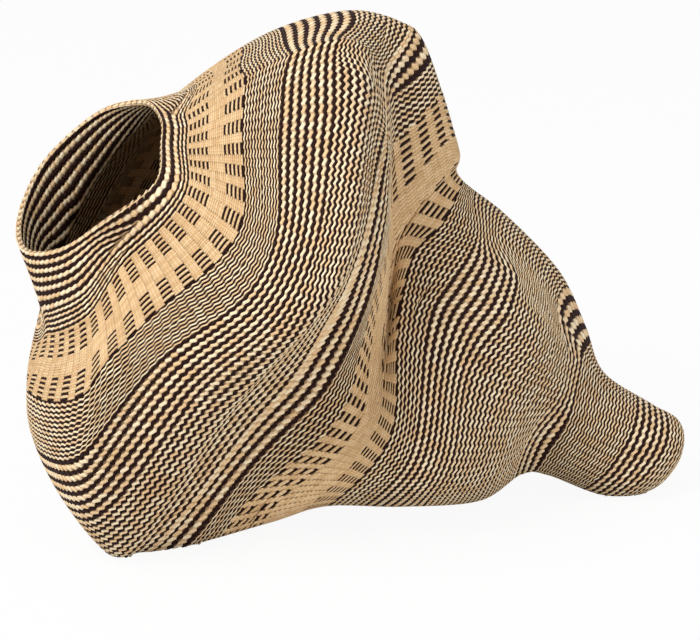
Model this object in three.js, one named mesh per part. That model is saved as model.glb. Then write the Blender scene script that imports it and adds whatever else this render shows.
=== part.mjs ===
// Free-form twined grass basket lying on its side, mouth to the upper left.
// Millimetres, +Z up. The woven wall is a run of twined bands from the rim to
// the closed tail, held together by warp stakes that lie in the wall.
import * as THREE from 'three';

// Sizes
const WALL = 5.0;              // thickness of the twined wall
const SEAM = 0.3;              // clearance between neighbouring pieces
const STAKE = 1.2;             // half width of a warp stake
const POCKET = 2.2;            // how deep a stake is let into the wall
const BORDER_ROLL = 0.8;       // how much the rim border stands proud of the wall
const REST_CUT = 9.0;          // how far the underside is pressed flat by the floor
const TIP_BULGE = 1.5;         // how far the closed end bulges beyond its last row
const SCALE = 1.0;             // overall size against the measured form
const STAKES = 12;             // warp stakes modelled
const SAMPLES_PER_STAKE = 4;   // points around the wall for each stake
const STAKE_SIDES = 4;         // sides of a warp stake
const FLOOR_SCAN = 4;          // rows tried for each station to find the lowest point
const ROUGHNESS = 0.85;        // dry straw

// Form of the wall. Every station is one weave row: its middle, the way it
// faces (toward the mouth), and ten points around it as angle in degrees,
// radius, and how far the row leans toward the mouth there. Angle 0 is the
// top of the row, 90 its far side, 180 its underside, 270 its near side.
// The ten points run: top ridge, upper hollow, front ridge, lower hollow,
// foot ridge, underside, lower back, back, upper back, crown.
const STATIONS = [
  { row: 'rim', at: [-232, -8, 135], faces: [-0.60, -0.29, 0.74],
    points: [[347, 86], [322, 85], [288, 102], [250, 80], [213, 81],
      [175, 85], [135, 84], [95, 92], [55, 95], [18, 91]] },
  { row: 'neck', at: [-212, 2, 104], faces: [-0.77, -0.26, 0.58],
    points: [[347, 111], [326, 110], [297, 131], [258, 83], [228, 120],
      [190, 121], [150, 100], [105, 92], [62, 98], [20, 116]] },
  { row: 'collar end', at: [-201, 6, 85], faces: [-0.75, -0.32, 0.58],
    points: [[346, 178], [325, 162, -2], [291, 172, -13], [253, 135, -2], [221, 180],
      [185, 172], [152, 122], [100, 110], [60, 118], [18, 144]] },
  { row: 'shoulder', at: [-162, 21, 57], faces: [-0.80, -0.27, 0.54],
    points: [[348, 240], [328, 206, -3], [287, 208, -24], [240, 165, -3], [204, 231],
      [170, 224], [140, 190], [98, 180], [56, 190], [18, 220]] },
  { row: 'widest', at: [-111, 32, 26], faces: [-0.86, -0.19, 0.47],
    points: [[352, 255], [330, 228, -5], [291, 218, -20], [242, 163, -2], [196, 264],
      [170, 248], [137, 210], [96, 196], [54, 210], [15, 265]] },
  { row: 'before the lip', at: [-73, 40, 16], faces: [-0.86, -0.13, 0.49],
    points: [[356, 212], [335, 192], [297, 192, -8], [237, 140], [195, 264],
      [168, 244], [132, 210], [95, 195], [54, 215], [15, 270]] },
  { row: 'fold lip', at: [-43, 47, 2], faces: [-0.87, -0.10, 0.49],
    points: [[356, 172, 3], [332, 176, 7], [305, 152, -13], [236, 106, -15], [195, 250],
      [166, 236], [131, 203], [95, 188], [55, 215], [16, 258]] },
  { row: 'fold floor', at: [15, 52, -32], faces: [-0.89, 0.05, 0.45],
    points: [[350, 120, 22], [325, 90, 10], [288, 84, -10], [245, 104, -22], [203, 190],
      [170, 186], [130, 162], [95, 155], [55, 172], [20, 191]] },
  { row: 'fold end', at: [41, 60, -39], faces: [-0.93, 0.03, 0.38],
    points: [[350, 118, 25], [322, 102, 20], [287, 108, 5], [242, 125, -25], [201, 166],
      [167, 172], [130, 150], [95, 140], [55, 148], [18, 160]] },
  { row: 'second lobe', at: [96, 82, -67], faces: [-0.94, 0.03, 0.34],
    points: [[348, 124], [320, 122, 5], [285, 134, 20], [240, 148, -5], [200, 147],
      [165, 159], [130, 138], [95, 125], [55, 135], [16, 142]] },
  { row: 'hip', at: [157, 93, -101], faces: [-0.94, 0.01, 0.34],
    points: [[346, 104, 10], [318, 104, 15], [285, 106, 20], [242, 112, 8], [202, 112],
      [165, 117], [130, 105], [95, 98], [55, 104], [16, 116]] },
  { row: 'above waist', at: [193, 110, -121], faces: [-0.91, -0.04, 0.40],
    points: [[345, 68, 8], [315, 62, 10], [285, 60, 8], [245, 64, 12], [205, 76, 5],
      [165, 72], [130, 66], [95, 66], [55, 70], [16, 77]] },
  { row: 'waist', at: [212, 110, -145], faces: [-0.85, -0.10, 0.52],
    points: [[345, 54], [315, 51], [285, 50], [245, 51], [205, 54],
      [165, 56], [130, 55], [95, 55], [55, 56], [16, 57]] },
  { row: 'tail', at: [260, 116, -172], faces: [-0.79, -0.18, 0.59],
    points: [[345, 50], [315, 50], [285, 50], [245, 50], [205, 50],
      [165, 50], [130, 50], [95, 50], [55, 50], [16, 51]] },
  { row: 'tail end', at: [291, 123, -183], faces: [-0.78, -0.22, 0.59],
    points: [[345, 40], [315, 40], [285, 40], [245, 40], [205, 40],
      [165, 40], [130, 40], [95, 40], [55, 40], [16, 40]] },
  { row: 'base', at: [303, 128, -193], faces: [-0.78, -0.22, 0.59],
    points: [[345, 14], [315, 14], [285, 14], [245, 14], [205, 14],
      [165, 14], [130, 14], [95, 14], [55, 14], [16, 14]] },
];

// Places between which the top ridge rises to a sharp crease, and falls again.
const CREASE_RISE = [2.0, 2.7];
const CREASE_FALL = [3.8, 4.9];

// Bands of weave from the rim to the tail: name, where the band ends on the
// count of stations, steps along it, colour.
const STRAW = 0xdcb67e;
const FINE = 0x8f7658;
const BOLD = 0x5a4840;
const BANDS = [
  { name: 'rim_border', end: 0.12, steps: 2, colour: STRAW, roll: BORDER_ROLL },
  { name: 'neck_striped_band', end: 1.00, steps: 2, colour: BOLD },
  { name: 'collar_natural_band', end: 2.00, steps: 2, colour: STRAW },
  { name: 'shoulder_fine_band', end: 2.60, steps: 2, colour: FINE },
  { name: 'shoulder_bold_band', end: 3.60, steps: 2, colour: BOLD },
  { name: 'body_fine_band', end: 5.00, steps: 3, colour: FINE },
  { name: 'body_bold_band', end: 6.20, steps: 2, colour: BOLD },
  { name: 'fold_fine_band', end: 6.66, steps: 1, colour: FINE },
  { name: 'fold_natural_band', end: 8.00, steps: 5, colour: STRAW },
  { name: 'lobe_fine_band', end: 8.60, steps: 1, colour: FINE },
  { name: 'lobe_bold_band', end: 9.42, steps: 2, colour: BOLD },
  { name: 'hip_fine_band', end: 10.75, steps: 3, colour: FINE },
  { name: 'waist_bold_band', end: 11.43, steps: 2, colour: BOLD },
  { name: 'tail_fine_band', end: 12.69, steps: 3, colour: FINE },
  { name: 'tail_bold_band', end: 13.50, steps: 2, colour: BOLD },
  { name: 'tail_end_band', end: 14.50, steps: 2, colour: FINE },
];
const BASE_COLOUR = 0xa8865c;
const STAKE_COLOUR = 0xc9a56f;

const AROUND = STAKES * SAMPLES_PER_STAKE;
const COLUMNS = STATIONS[0].points.length;
const LAST = STATIONS.length - 1;

// Control points of the wall's outer face, one row of ten for each station.
const CONTROL = STATIONS.map((station) => {
  const centre = new THREE.Vector3(...station.at);
  const facing = new THREE.Vector3(...station.faces).normalize();
  const top = new THREE.Vector3(0, 0, 1).addScaledVector(facing, -facing.z).normalize();
  const back = new THREE.Vector3().crossVectors(facing, top);
  return station.points.map(([degrees, radius, lean = 0]) => {
    const angle = THREE.MathUtils.degToRad(degrees);
    return centre.clone()
      .addScaledVector(top, radius * Math.cos(angle))
      .addScaledVector(back, radius * Math.sin(angle))
      .addScaledVector(facing, lean)
      .multiplyScalar(SCALE);
  });
});

// Cubic through four points, from the second to the third.
function cubic(before, from, to, after, f) {
  const blend = (a, b, c, d) => 0.5 * (2 * b + (c - a) * f
    + (2 * a - 5 * b + 4 * c - d) * f * f
    + (3 * b - a - 3 * c + d) * f * f * f);
  return new THREE.Vector3(
    blend(before.x, from.x, to.x, after.x),
    blend(before.y, from.y, to.y, after.y),
    blend(before.z, from.z, to.z, after.z),
  );
}

// Point of one column at a place on the count of stations.
function alongColumn(column, place) {
  const clamped = Math.min(Math.max(place, 0), LAST - 1e-6);
  const i = Math.floor(clamped);
  const row = (k) => CONTROL[Math.min(Math.max(k, 0), LAST)][column];
  return cubic(row(i - 1), row(i), row(i + 1), row(i + 2), clamped - i);
}

// How sharp the crease of the top ridge is at a place, from 0 to 1.
function creaseAt(place) {
  return THREE.MathUtils.smoothstep(place, ...CREASE_RISE)
    * (1 - THREE.MathUtils.smoothstep(place, ...CREASE_FALL));
}

// Point of the outer face: place along the basket, turn around it (0 to 1).
// On both sides of the top ridge the crease draws the face in.
function outerPoint(place, turn) {
  const across = (((turn % 1) + 1) % 1) * COLUMNS;
  const i = Math.floor(across);
  const f = across - i;
  const column = (k) => alongColumn((k + COLUMNS) % COLUMNS, place);
  const point = cubic(column(i - 1), column(i), column(i + 1), column(i + 2), f);
  if (i > 0 && i < COLUMNS - 1) return point;
  const pull = i === 0 ? f * (1 - f) * (1 - f) : f * f * (1 - f);
  const inward = column(1).add(column(-1)).multiplyScalar(0.5).sub(column(0));
  return point.addScaledVector(inward, creaseAt(place) * pull);
}

// Local directions of the outer face: along toward the tail, around, and out.
function localFrame(place, turn) {
  const step = 0.01;
  const twist = 0.002;
  const lower = Math.min(Math.max(place - step, 0), LAST - 2 * step);
  const along = outerPoint(lower + 2 * step, turn).sub(outerPoint(lower, turn)).normalize();
  const round = outerPoint(place, turn + twist).sub(outerPoint(place, turn - twist)).normalize();
  const out = new THREE.Vector3().crossVectors(round, along).normalize();
  return { along, round, out };
}

// Height of the floor: the lowest point of the form, less the flattened part.
let lowest = Infinity;
for (let i = 0; i <= LAST * FLOOR_SCAN; i += 1) {
  for (let j = 0; j < AROUND; j += 1) {
    lowest = Math.min(lowest, outerPoint(i / FLOOR_SCAN, j / AROUND).z);
  }
}
const FLOOR = lowest + REST_CUT;

// Point of the wall at a depth below its outer face, pressed flat by the floor.
function wallPoint(place, turn, depth, shift = 0, aside = 0) {
  const { along, round, out } = localFrame(place, turn);
  const point = outerPoint(place, turn)
    .addScaledVector(out, -depth)
    .addScaledVector(along, shift)
    .addScaledVector(round, aside);
  point.z = Math.max(point.z, FLOOR + depth);
  return point;
}

// Depth of the inner face: thinner where a stake lies in its pocket.
function innerDepth(index) {
  return index % SAMPLES_PER_STAKE === 0 ? WALL - POCKET : WALL;
}

// Closed mesh from points and triangles, turned so that its faces look out.
function solid(name, points, triangles, colour) {
  let volume = 0;
  const cross = new THREE.Vector3();
  for (const [a, b, c] of triangles) {
    volume += points[a].dot(cross.crossVectors(points[b], points[c]));
  }
  const ordered = volume < 0 ? triangles.map(([a, b, c]) => [a, c, b]) : triangles;
  const geometry = new THREE.BufferGeometry();
  const numbers = points.flatMap((p) => [p.x, p.y, p.z]);
  geometry.setAttribute('position', new THREE.Float32BufferAttribute(numbers, 3));
  geometry.setIndex(ordered.flat());
  geometry.computeVertexNormals();
  const material = new THREE.MeshStandardMaterial({ color: colour, roughness: ROUGHNESS, metalness: 0 });
  const mesh = new THREE.Mesh(geometry, material);
  mesh.name = name;
  return mesh;
}

// Two triangles between neighbouring points of two loops.
function strip(triangles, first, second, count) {
  for (let j = 0; j < count; j += 1) {
    const k = (j + 1) % count;
    triangles.push([first + j, second + j, second + k]);
    triangles.push([first + j, second + k, first + k]);
  }
}

// Face of a ring toward the mouth, split the same way as the face it meets.
function startFace(triangles, outer, inner) {
  for (let j = 0; j < AROUND; j += 1) {
    const k = (j + 1) % AROUND;
    triangles.push([outer + j, inner + k, inner + j]);
    triangles.push([outer + j, outer + k, inner + k]);
  }
}

// One twined band: a ring of wall between two rows.
function band(name, start, end, steps, colour, roll) {
  const points = [];
  const loops = [];
  const addLoop = (place, shift, depthAt) => {
    loops.push(points.length);
    for (let j = 0; j < AROUND; j += 1) {
      points.push(wallPoint(place, j / AROUND, depthAt(j), shift));
    }
  };
  const shiftAt = (i) => {
    if (i === 0 && start > 0) return SEAM / 2;
    if (i === steps) return -SEAM / 2;
    return 0;
  };
  const placeAt = (i) => start + (end - start) * i / steps;
  const rollAt = (i) => (i < steps ? roll : 0);
  for (let i = 0; i <= steps; i += 1) {
    addLoop(placeAt(i), shiftAt(i), () => -rollAt(i));
  }
  for (let i = steps; i >= 0; i -= 1) {
    addLoop(placeAt(i), shiftAt(i), (j) => innerDepth(j) + rollAt(i));
  }
  const triangles = [];
  for (let i = 0; i + 1 < loops.length; i += 1) {
    strip(triangles, loops[i], loops[i + 1], AROUND);
  }
  startFace(triangles, loops[0], loops[loops.length - 1]);
  return solid(name, points, triangles, colour);
}

// The start of the weave: a small closed dome at the end of the tail.
function baseStart(start) {
  const points = [];
  const triangles = [];
  const places = [start, (start + LAST) / 2, LAST];
  const outer = places.map((place, i) => {
    const first = points.length;
    for (let j = 0; j < AROUND; j += 1) {
      points.push(wallPoint(place, j / AROUND, 0, i === 0 ? SEAM / 2 : 0));
    }
    return first;
  });
  const inner = places.map((place, i) => {
    const first = points.length;
    for (let j = 0; j < AROUND; j += 1) {
      points.push(wallPoint(place, j / AROUND, WALL, i === 0 ? SEAM / 2 : 0));
    }
    return first;
  });
  const middle = (first) => {
    const sum = new THREE.Vector3();
    for (let j = 0; j < AROUND; j += 1) sum.add(points[first + j]);
    return sum.divideScalar(AROUND);
  };
  const facing = new THREE.Vector3(...STATIONS[LAST].faces).normalize();
  const outerTip = points.length;
  points.push(middle(outer[2]).addScaledVector(facing, -TIP_BULGE));
  const innerTip = points.length;
  points.push(middle(inner[2]).addScaledVector(facing, -TIP_BULGE));
  strip(triangles, outer[0], outer[1], AROUND);
  strip(triangles, outer[1], outer[2], AROUND);
  strip(triangles, inner[1], inner[0], AROUND);
  strip(triangles, inner[2], inner[1], AROUND);
  startFace(triangles, outer[0], inner[0]);
  for (let j = 0; j < AROUND; j += 1) {
    const k = (j + 1) % AROUND;
    triangles.push([outer[2] + j, outerTip, outer[2] + k]);
    triangles.push([inner[2] + j, inner[2] + k, innerTip]);
  }
  return solid('base_start', points, triangles, BASE_COLOUR);
}

// One warp stake: a slim rod that lies in the pocket of the wall, from just
// under the rim border to the start of the weave.
function stake(name, index) {
  const turn = index / STAKES;
  const depth = WALL - POCKET + SEAM + STAKE;
  const points = [];
  const triangles = [];
  const places = [];
  for (let b = 1; b < BANDS.length; b += 1) {
    const start = BANDS[b - 1].end;
    for (let i = 0; i < BANDS[b].steps; i += 1) {
      places.push(start + (BANDS[b].end - start) * i / BANDS[b].steps);
    }
  }
  places.push(BANDS[BANDS.length - 1].end);
  const loops = places.map((place, i) => {
    const shift = i === 0 ? SEAM : (i === places.length - 1 ? -SEAM : 0);
    const first = points.length;
    points.push(wallPoint(place, turn, depth - STAKE, shift));
    points.push(wallPoint(place, turn, depth, shift, STAKE));
    points.push(wallPoint(place, turn, depth + STAKE, shift));
    points.push(wallPoint(place, turn, depth, shift, -STAKE));
    return first;
  });
  for (let i = 0; i + 1 < loops.length; i += 1) {
    strip(triangles, loops[i], loops[i + 1], STAKE_SIDES);
  }
  const head = loops[0];
  const foot = loops[loops.length - 1];
  triangles.push([head, head + 1, head + 2], [head, head + 2, head + 3]);
  triangles.push([foot, foot + 2, foot + 1], [foot, foot + 3, foot + 2]);
  return solid(name, points, triangles, STAKE_COLOUR);
}

const basket = new THREE.Group();
basket.name = 'bolga_basket';
let start = 0;
for (const { name, end, steps, colour, roll = 0 } of BANDS) {
  basket.add(band(name, start, end, steps, colour, roll));
  start = end;
}
basket.add(baseStart(start));
for (let i = 0; i < STAKES; i += 1) {
  basket.add(stake(`warp_stake_${String(i + 1).padStart(2, '0')}`, i));
}

// The origin is the middle of the underside of the whole basket.
const box = new THREE.Box3().setFromObject(basket);
const centre = box.getCenter(new THREE.Vector3());
for (const mesh of basket.children) {
  mesh.geometry.translate(-centre.x, -centre.y, -box.min.z);
}

export default basket;
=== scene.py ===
"""Looks of a free-form twined grass basket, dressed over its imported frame."""
import logging
import math
from dataclasses import dataclass
from enum import Enum

import bpy
import numpy as np
from mathutils import Color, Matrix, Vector


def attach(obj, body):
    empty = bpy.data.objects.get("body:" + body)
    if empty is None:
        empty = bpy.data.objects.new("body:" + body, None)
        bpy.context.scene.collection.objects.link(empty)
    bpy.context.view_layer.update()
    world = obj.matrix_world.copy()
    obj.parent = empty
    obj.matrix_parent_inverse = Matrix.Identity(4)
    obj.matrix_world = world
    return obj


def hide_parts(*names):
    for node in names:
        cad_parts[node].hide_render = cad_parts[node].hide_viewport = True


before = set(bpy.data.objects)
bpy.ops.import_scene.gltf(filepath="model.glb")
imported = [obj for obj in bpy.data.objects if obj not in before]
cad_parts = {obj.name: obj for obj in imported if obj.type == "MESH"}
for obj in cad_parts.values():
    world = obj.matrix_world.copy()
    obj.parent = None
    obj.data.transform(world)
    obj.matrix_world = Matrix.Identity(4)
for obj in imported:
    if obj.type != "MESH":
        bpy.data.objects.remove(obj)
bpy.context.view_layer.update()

LOG = logging.getLogger("twined_basket")
MM = 0.001
TINY = 1e-12
DOWN = np.array((0.0, 0.0, -1.0))
Array = np.ndarray
Colour = tuple[float, float, float]
Triple = tuple[float, float, float]
Faces = list[tuple[int, ...]]
Inputs = dict[str | int, object]
Outputs = bpy.types.bpy_prop_collection
Socket = bpy.types.NodeSocket


# The form


@dataclass(frozen=True)
class Station:
    """One ring of the form, in millimetres and degrees.

    Ten points go round it: top ridge, upper hollow, front ridge, lower hollow, foot ridge, underside,
    lower back, back, upper back and crown. A lean moves a point along the way that the ring faces, and
    points after the last lean have none.
    """

    middle: Triple
    faces: Triple
    angles: tuple[float, ...]
    radii: tuple[float, ...]
    leans: tuple[float, ...] = ()


TAIL_ANGLES = (345, 315, 285, 245, 205, 165, 130, 95, 55, 16)


def round_station(middle: Triple, faces: Triple, radius: float) -> Station:
    """A plain round ring of the tail, with its middle, the way that it faces and its radius."""
    return Station(middle, faces, TAIL_ANGLES, (radius,) * len(TAIL_ANGLES))


STATIONS = (
    # rim
    Station((-232, -8, 135), (-0.60, -0.29, 0.74),
            (347, 322, 288, 250, 213, 175, 135, 95, 55, 18),
            (86, 85, 102, 80, 81, 85, 84, 92, 95, 91)),
    # neck
    Station((-212, 2, 104), (-0.77, -0.26, 0.58),
            (347, 326, 297, 258, 228, 190, 150, 105, 62, 20),
            (111, 110, 131, 83, 120, 121, 100, 92, 98, 116)),
    # end of the collar
    Station((-201, 6, 85), (-0.75, -0.32, 0.58),
            (346, 325, 291, 253, 221, 185, 152, 100, 60, 18),
            (178, 162, 172, 135, 180, 172, 122, 110, 118, 144),
            (0, -2, -13, -2)),
    # shoulder
    Station((-162, 21, 57), (-0.80, -0.27, 0.54),
            (348, 328, 287, 240, 204, 170, 140, 98, 56, 18),
            (240, 206, 208, 165, 231, 224, 190, 180, 190, 220),
            (0, -3, -24, -3)),
    # widest ring
    Station((-111, 32, 26), (-0.86, -0.19, 0.47),
            (352, 330, 291, 242, 196, 170, 137, 96, 54, 15),
            (255, 228, 218, 163, 264, 248, 210, 196, 210, 265),
            (0, -5, -20, -2)),
    # before the lip of the fold
    Station((-73, 40, 16), (-0.86, -0.13, 0.49),
            (356, 335, 297, 237, 195, 168, 132, 95, 54, 15),
            (212, 192, 192, 140, 264, 244, 210, 195, 215, 270),
            (0, 0, -8, 0)),
    # lip of the fold
    Station((-43, 47, 2), (-0.87, -0.10, 0.49),
            (356, 332, 305, 236, 195, 166, 131, 95, 55, 16),
            (172, 176, 152, 106, 250, 236, 203, 188, 215, 258),
            (3, 7, -13, -15)),
    # floor of the fold
    Station((15, 52, -32), (-0.89, 0.05, 0.45),
            (350, 325, 288, 245, 203, 170, 130, 95, 55, 20),
            (120, 90, 84, 104, 190, 186, 162, 155, 172, 191),
            (22, 10, -10, -22)),
    # end of the fold
    Station((41, 60, -39), (-0.93, 0.03, 0.38),
            (350, 322, 287, 242, 201, 167, 130, 95, 55, 18),
            (118, 102, 108, 125, 166, 172, 150, 140, 148, 160),
            (25, 20, 5, -25)),
    # second lobe
    Station((96, 82, -67), (-0.94, 0.03, 0.34),
            (348, 320, 285, 240, 200, 165, 130, 95, 55, 16),
            (124, 122, 134, 148, 147, 159, 138, 125, 135, 142),
            (0, 5, 20, -5)),
    # hip
    Station((157, 93, -101), (-0.94, 0.01, 0.34),
            (346, 318, 285, 242, 202, 165, 130, 95, 55, 16),
            (104, 104, 106, 112, 112, 117, 105, 98, 104, 116),
            (10, 15, 20, 8)),
    # above the waist
    Station((193, 110, -121), (-0.91, -0.04, 0.40),
            TAIL_ANGLES,
            (68, 62, 60, 64, 76, 72, 66, 66, 70, 77),
            (8, 10, 8, 12, 5)),
    # waist
    Station((212, 110, -145), (-0.85, -0.10, 0.52),
            TAIL_ANGLES,
            (54, 51, 50, 51, 54, 56, 55, 55, 56, 57)),
    # tail, its end and the base
    round_station((260, 116, -172), (-0.79, -0.18, 0.59), 50),
    round_station((291, 123, -183), (-0.78, -0.22, 0.59), 40),
    round_station((303, 128, -193), (-0.78, -0.22, 0.59), 14),
)
FORM_SHIFT = (-9.2, -40.9, 211.4)
CREASE_RISE = (2.0, 2.7)
CREASE_FALL = (3.8, 4.9)
LAST_PLACE = len(STATIONS) - 1


@dataclass
class Spots:
    """Points on the wall's outer face, with the ways along it and out of it."""

    point: Array
    along: Array
    out: Array


def unit(vectors: Array) -> Array:
    """Each row of vectors at a length of one."""
    return vectors / np.maximum(np.linalg.norm(vectors, axis=-1, keepdims=True), TINY)


def spline_weights(share: Array) -> tuple[Array, Array]:
    """Weights of the four nearest points of a Catmull-Rom curve.

    Args:
        share: How far each wanted point lies between its two middle points, from 0 to 1.

    Returns:
        The weights for the place, and those for its change.
    """
    square, cube = share**2, share**3
    place = (2 * square - share - cube, 2 - 5 * square + 3 * cube,
             share + 4 * square - 3 * cube, cube - square)
    change = (4 * share - 1 - 3 * square, 9 * square - 10 * share,
              1 + 8 * share - 9 * square, 3 * square - 2 * share)
    return 0.5 * np.stack(place, -1), 0.5 * np.stack(change, -1)


def crease_weights(column: Array, last: int, share: Array) -> tuple[Array, Array]:
    """Weights of the four nearest points that draw the face in on both sides of the top ridge.

    Args:
        column: The column before each wanted point.
        last: The last column.
        share: How far each wanted point lies between its two middle points, from 0 to 1.

    Returns:
        The weights for the place, and those for its change.
    """
    square, cube = share**2, share**3
    after = np.outer(column == 0, (0.5, -1.0, 0.5, 0.0))
    before = np.outer(column == last, (0.0, 0.5, -1.0, 0.5))
    pull = after * (cube - 2 * square + share)[:, None] + before * (square - cube)[:, None]
    change = after * (3 * square - 4 * share + 1)[:, None] + before * (2 * share - 3 * square)[:, None]
    return pull, change


def step_between(value: Array, ends: tuple[float, float]) -> tuple[Array, Array]:
    """A smooth step from 0 to 1 between two values, with its change."""
    share = np.clip((value - ends[0]) / (ends[1] - ends[0]), 0, 1)
    return share**2 * (3 - 2 * share), 6 * share * (1 - share) / (ends[1] - ends[0])


class BasketForm:
    """The free-form wall: a place runs from the rim, 0, to the base, and a turn goes round from 0 to 1."""

    def __init__(self, stations: tuple[Station, ...]) -> None:
        """Lays out the net of points, in metres, from the rings in order from the rim to the base."""
        self.net = np.array([self.ring(station) for station in stations])

    @staticmethod
    def ring(station: Station) -> Array:
        """The ten points of one ring.

        Args:
            station: The ring.

        Returns:
            Its points in metres.
        """
        faces = unit(np.array(station.faces))
        top = unit(faces * (DOWN @ faces) - DOWN)
        back = np.cross(faces, top)
        angle = np.radians(station.angles)[:, None]
        radius = np.array(station.radii, float)[:, None]
        lean = np.zeros_like(radius)
        lean[:len(station.leans), 0] = station.leans
        middle = np.array(station.middle) + np.array(FORM_SHIFT)
        return (middle + radius * (np.cos(angle) * top + np.sin(angle) * back) + lean * faces) * MM

    def spots(self, place: Array, turn: Array) -> Spots:
        """Points and ways on the outer face.

        Args:
            place: Places from the rim to the base.
            turn: Turns round the basket, as many as places.

        Returns:
            The points, with the ways along in metres per place and the ways out at a length of one.
        """
        shape = np.shape(place)
        rows, columns = self.net.shape[:2]
        place = np.clip(np.ravel(place), 0, rows - 1)
        round_place = np.ravel(turn) % 1.0 * columns
        row = np.minimum(np.floor(place), rows - 2).astype(int)
        column = np.floor(round_place).astype(int)
        near = np.arange(-1, 3)
        row_near = np.clip(row[:, None] + near, 0, rows - 1)
        column_near = (column[:, None] + near) % columns
        block = self.net[row_near[:, :, None], column_near[:, None, :]]
        down, down_change = spline_weights(place - row)
        across, across_change = spline_weights(round_place - column)
        rise, rise_change = step_between(place, CREASE_RISE)
        fall, fall_change = step_between(place, CREASE_FALL)
        crease = (rise * (1 - fall))[:, None]
        crease_change = (rise_change * (1 - fall) - rise * fall_change)[:, None]
        pull, pull_change = crease_weights(column, columns - 1, round_place - column)
        across = across + crease * pull
        across_change = across_change + crease * pull_change
        blend = "na,nb,nabk->nk"
        point = np.einsum(blend, down, across, block)
        along = np.einsum(blend, down_change, across, block)
        along += np.einsum(blend, down, crease_change * pull, block)
        around = np.einsum(blend, down, across_change, block) * columns
        out = unit(np.cross(around, along))
        full = shape + (3,)
        return Spots(point.reshape(full), along.reshape(full), out.reshape(full))

    def wall(self, place: Array, turn: Array, depth: float | Array) -> Array:
        """Points inside the wall, pressed flat where the basket bears on the floor.

        Args:
            place: Places from the rim to the base.
            turn: Turns round the basket.
            depth: How far the points lie under the outer face, in metres.

        Returns:
            The points.
        """
        spots = self.spots(place, turn)
        points = spots.point - spots.out * np.asarray(depth)[..., None]
        points[..., 2] = np.maximum(points[..., 2], depth)
        return points


# The lines between the weaves


@dataclass(frozen=True)
class RowLine:
    """A line round the basket where one weave ends and the next begins.

    The pairs are turns and places, in order of turn, and the line is closed.
    """

    pairs: tuple[tuple[float, float], ...]
    ease: float = 0.012
    taps: int = 5

    def place(self, turn: Array) -> Array:
        """Places of the line at some turns, eased over a short stretch.

        Args:
            turn: Turns round the basket.

        Returns:
            The places.
        """
        turns, places = np.array(self.pairs).T
        taps = np.linspace(-self.ease, self.ease, self.taps)
        return np.mean([np.interp(turn + tap, turns, places, period=1.0) for tap in taps], axis=0)


RIM_EDGE = RowLine(((0.0, 0.0),))
RIM_END = RowLine((
    (0.0, 0.05), (0.15, 0.05), (0.20, 0.07), (0.25, 0.09), (0.35, 0.09), (0.5, 0.07), (0.9, 0.06)))
NECK_BOLD_END = RowLine((
    (0.0, 0.73), (0.05, 0.74), (0.10, 0.74), (0.15, 0.73), (0.20, 0.80), (0.25, 0.89), (0.28, 0.88),
    (0.30, 0.84), (0.35, 0.76), (0.40, 0.72), (0.45, 0.72), (0.50, 0.78), (0.54, 1.25), (0.58, 1.9),
    (0.64, 2.5), (0.70, 2.75), (0.76, 2.65), (0.82, 2.4), (0.88, 2.0), (0.93, 1.55), (0.96, 1.05),
    (0.985, 0.76)))
NECK_END = RowLine((
    (0.0, 0.98), (0.05, 1.0), (0.10, 1.0), (0.15, 0.97), (0.20, 1.03), (0.25, 1.14), (0.28, 1.15),
    (0.30, 1.10), (0.33, 1.05), (0.36, 1.0), (0.40, 0.98), (0.45, 0.99), (0.5, 1.05), (0.54, 1.50),
    (0.58, 2.1), (0.64, 2.65), (0.70, 2.9), (0.76, 2.8), (0.82, 2.55), (0.88, 2.2), (0.93, 1.78),
    (0.96, 1.30), (0.985, 1.01)))
COLLAR_END = RowLine((
    (0.0, 2.0), (0.03, 1.92), (0.05, 1.93), (0.10, 1.98), (0.15, 1.96), (0.20, 2.02), (0.25, 2.08),
    (0.30, 2.05), (0.33, 1.95), (0.36, 1.80), (0.38, 1.76), (0.40, 1.90), (0.45, 1.90), (0.5, 1.92),
    (0.54, 2.30), (0.58, 2.80), (0.64, 3.2), (0.70, 3.4), (0.76, 3.35), (0.82, 3.15), (0.88, 2.85),
    (0.93, 2.5), (0.96, 2.18), (0.985, 2.02)))
SHOULDER_FINE_END = RowLine((
    (0.0, 2.57), (0.02, 2.52), (0.05, 2.50), (0.10, 2.54), (0.15, 2.50), (0.20, 2.535), (0.22, 2.61),
    (0.24, 2.66), (0.28, 2.61), (0.32, 2.57), (0.36, 2.53), (0.39, 2.58), (0.45, 2.65), (0.48, 2.75),
    (0.52, 2.95), (0.58, 3.3), (0.64, 3.6), (0.70, 3.75), (0.76, 3.7), (0.82, 3.5), (0.88, 3.25),
    (0.93, 2.95), (0.96, 2.77), (0.985, 2.65)))
SHOULDER_BOLD_END = RowLine((
    (0.0, 3.36), (0.02, 3.33), (0.05, 3.38), (0.10, 3.47), (0.133, 3.40), (0.145, 3.35), (0.156, 3.32),
    (0.168, 3.29), (0.18, 3.24), (0.199, 3.22), (0.213, 3.31), (0.225, 3.37), (0.237, 3.45),
    (0.247, 3.49), (0.26, 3.45), (0.28, 3.45), (0.32, 3.52), (0.36, 3.52), (0.39, 3.45), (0.43, 3.40),
    (0.46, 3.6), (0.5, 3.9), (0.56, 4.05), (0.65, 4.2), (0.85, 4.15), (0.92, 4.05), (0.958, 3.98),
    (0.98, 3.68)))
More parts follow.
